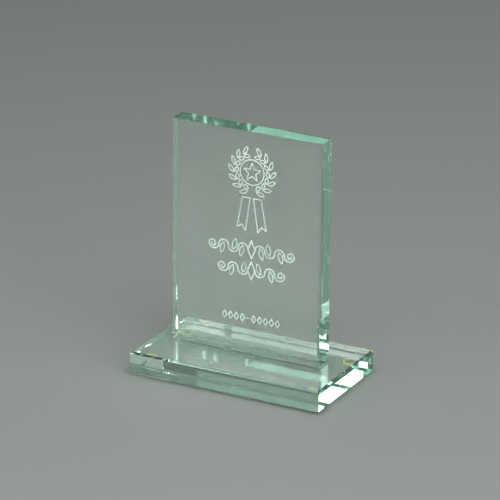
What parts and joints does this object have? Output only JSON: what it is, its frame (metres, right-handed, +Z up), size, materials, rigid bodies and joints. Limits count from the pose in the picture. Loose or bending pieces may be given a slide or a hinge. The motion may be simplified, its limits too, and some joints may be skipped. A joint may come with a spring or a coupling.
{
  "type": "glass award",
  "caption": "Upright rectangular plate of pale green glass with a frosted engraving, bonded on edge to a glass base slab that stands on small clear bumper feet.",
  "frame": {"origin": "centre of the base slab's footprint at table level, on the plane the feet stand on", "axes": "+Z up the plate, +X along the wide side of the base, -Y out of the front face that the award is read from"},
  "size_m": [0.135, 0.078, 0.1671],
  "materials": {
    "plate_glass": "polished, with a frosted engraving",
    "base_glass": "polished",
    "bond": "clear cured adhesive",
    "bumper": "clear polyurethane, slightly yellow",
    "foot_adhesive": "clear acrylic adhesive"
  },
  "bodies": {
    "root": {"upright_plate": "plate_glass", "bond_film": "bond", "base_slab": "base_glass", "bumper_foot_front_left": "bumper", "foot_adhesive_front_left": "foot_adhesive", "bumper_foot_front_right": "bumper", "foot_adhesive_front_right": "foot_adhesive", "bumper_foot_rear_left": "bumper", "foot_adhesive_rear_left": "foot_adhesive", "bumper_foot_rear_right": "bumper", "foot_adhesive_rear_right": "foot_adhesive"}
  },
  "joints": []
}
